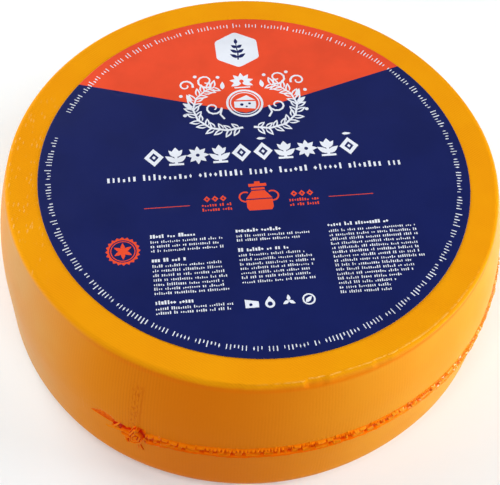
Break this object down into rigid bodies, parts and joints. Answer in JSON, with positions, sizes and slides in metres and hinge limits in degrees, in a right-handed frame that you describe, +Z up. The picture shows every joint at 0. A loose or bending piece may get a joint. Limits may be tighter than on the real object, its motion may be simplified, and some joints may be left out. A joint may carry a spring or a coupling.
{
  "type": "cheese wheel",
  "caption": "Low round wheel of semi-hard cheese in a yellow-orange coating, with a moulded bead round its side and a round printed label on its upper face.",
  "frame": {"origin": "centre of the base, on the surface the wheel stands on", "axes": "+Z up along the wheel's axis; the label's print reads upright from the -Y side"},
  "size_m": [0.281, 0.2828, 0.1058],
  "materials": {
    "coating": "thin yellow-orange coating film on cheese, glossy, finely ribbed and dimpled, deeper red-orange where it pooled along the bead",
    "label_print": "coated label paper printed navy blue, with an orange-red field and white ornament, satin"
  },
  "bodies": {
    "root": {"cheese_wheel": "coating", "label": "label_print"}
  },
  "joints": []
}
